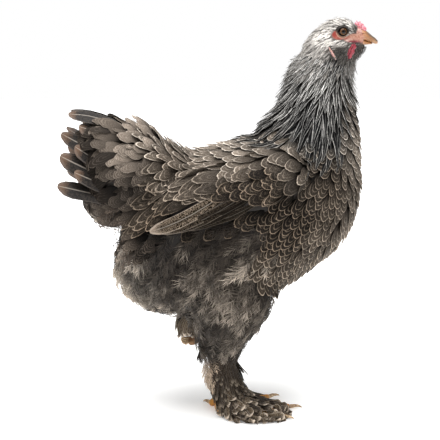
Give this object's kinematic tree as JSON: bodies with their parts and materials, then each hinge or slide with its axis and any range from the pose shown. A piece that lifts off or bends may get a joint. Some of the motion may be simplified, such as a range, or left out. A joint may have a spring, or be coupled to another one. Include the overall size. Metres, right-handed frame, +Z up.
{
  "type": "hen",
  "caption": "Life-size still model of a feather-footed hen standing on one foot with the other lifted, coat pencilled dark and silver.",
  "frame": {"origin": "on the floor under the middle of the bounding box", "axes": "+X forward (where the beak points), +Y the bird's left, +Z up"},
  "size_m": [0.4052, 0.2418, 0.5189],
  "materials": {
    "silver_feathers": "soft hackle feathers, dark centres edged with silver",
    "pencilled_feathers": "dark brown-grey feathers with fine pale concentric pencilling",
    "saddle_feathers": "finely pencilled grey-brown feathers",
    "quill_feathers": "smooth dark slate feathers with brown tips",
    "fluff_feathers": "soft loose grey-brown fluff",
    "foot_feathers": "loose dark brown feathers on the shank and foot",
    "toe_scales": "dull yellow scaled skin",
    "comb": "pink-red bare skin, satin",
    "lobe": "thin pale pink skin",
    "beak": "horn, yellowish with a dark ridge, satin",
    "claw": "horn, satin",
    "eye": "wet bay brown iris with a black pupil"
  },
  "bodies": {
    "root": {"back": "pencilled_feathers", "beak_lower": "beak", "beak_upper": "beak", "belly": "fluff_feathers", "breast": "pencilled_feathers", "claw_hind_l": "claw", "claw_hind_r": "claw", "claw_inner_l": "claw", "claw_inner_r": "claw", "claw_middle_l": "claw", "claw_middle_r": "claw", "claw_outer_l": "claw", "claw_outer_r": "claw", "comb": "comb", "cushion": "saddle_feathers", "earlobe_l": "lobe", "earlobe_r": "lobe", "eye_l": "eye", "eye_r": "eye", "fluff": "fluff_feathers", "foot_pad_r": "toe_scales", "head": "silver_feathers", "neck": "silver_feathers", "shank_l": "foot_feathers", "shank_r": "foot_feathers", "slipper_l": "foot_feathers", "slipper_r": "foot_feathers", "tail_feather_l1": "quill_feathers", "tail_feather_l2": "quill_feathers", "tail_feather_l3": "quill_feathers", "tail_feather_l4": "quill_feathers", "tail_feather_r1": "quill_feathers", "tail_feather_r2": "quill_feathers", "tail_feather_r3": "quill_feathers", "tail_feather_r4": "quill_feathers", "thigh_l": "fluff_feathers", "thigh_r": "fluff_feathers", "toe_hind_l": "toe_scales", "toe_hind_r": "toe_scales", "toe_inner_l": "toe_scales", "toe_inner_r": "toe_scales", "toe_middle_l": "toe_scales", "toe_middle_r": "toe_scales", "toe_outer_l": "toe_scales", "toe_outer_r": "toe_scales", "undertail": "pencilled_feathers", "wattle_l": "comb", "wattle_r": "comb", "wing_flights_l": "quill_feathers", "wing_flights_r": "quill_feathers", "wing_l": "pencilled_feathers", "wing_r": "pencilled_feathers"}
  },
  "joints": []
}
